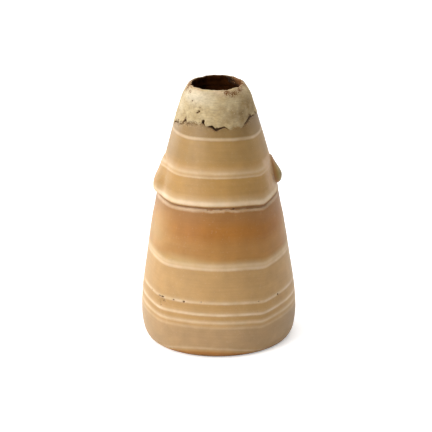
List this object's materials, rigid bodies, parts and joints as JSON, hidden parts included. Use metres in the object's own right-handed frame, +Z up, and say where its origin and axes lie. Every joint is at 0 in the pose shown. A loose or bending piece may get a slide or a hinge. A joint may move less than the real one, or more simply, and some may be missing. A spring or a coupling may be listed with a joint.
{
  "type": "kohl pot",
  "caption": "Tall tapering kohl pot of banded calcite with small drop-shaped lugs and a plaster collar round its narrow mouth.",
  "frame": {"origin": "middle of the flat underside, on the surface that the pot stands on", "axes": "+Z up through the mouth; the pot's seen front faces -Y, and its lugs are to +X and, a little forward, to -X"},
  "size_m": [0.05, 0.05, 0.085],
  "materials": {
    "banded_calcite": "satin, worn polish, translucent honey and white layers",
    "old_plaster": "matt, cracked and stained"
  },
  "bodies": {
    "root": {"stone_pot": "banded_calcite", "plaster_collar": "old_plaster"}
  },
  "joints": []
}
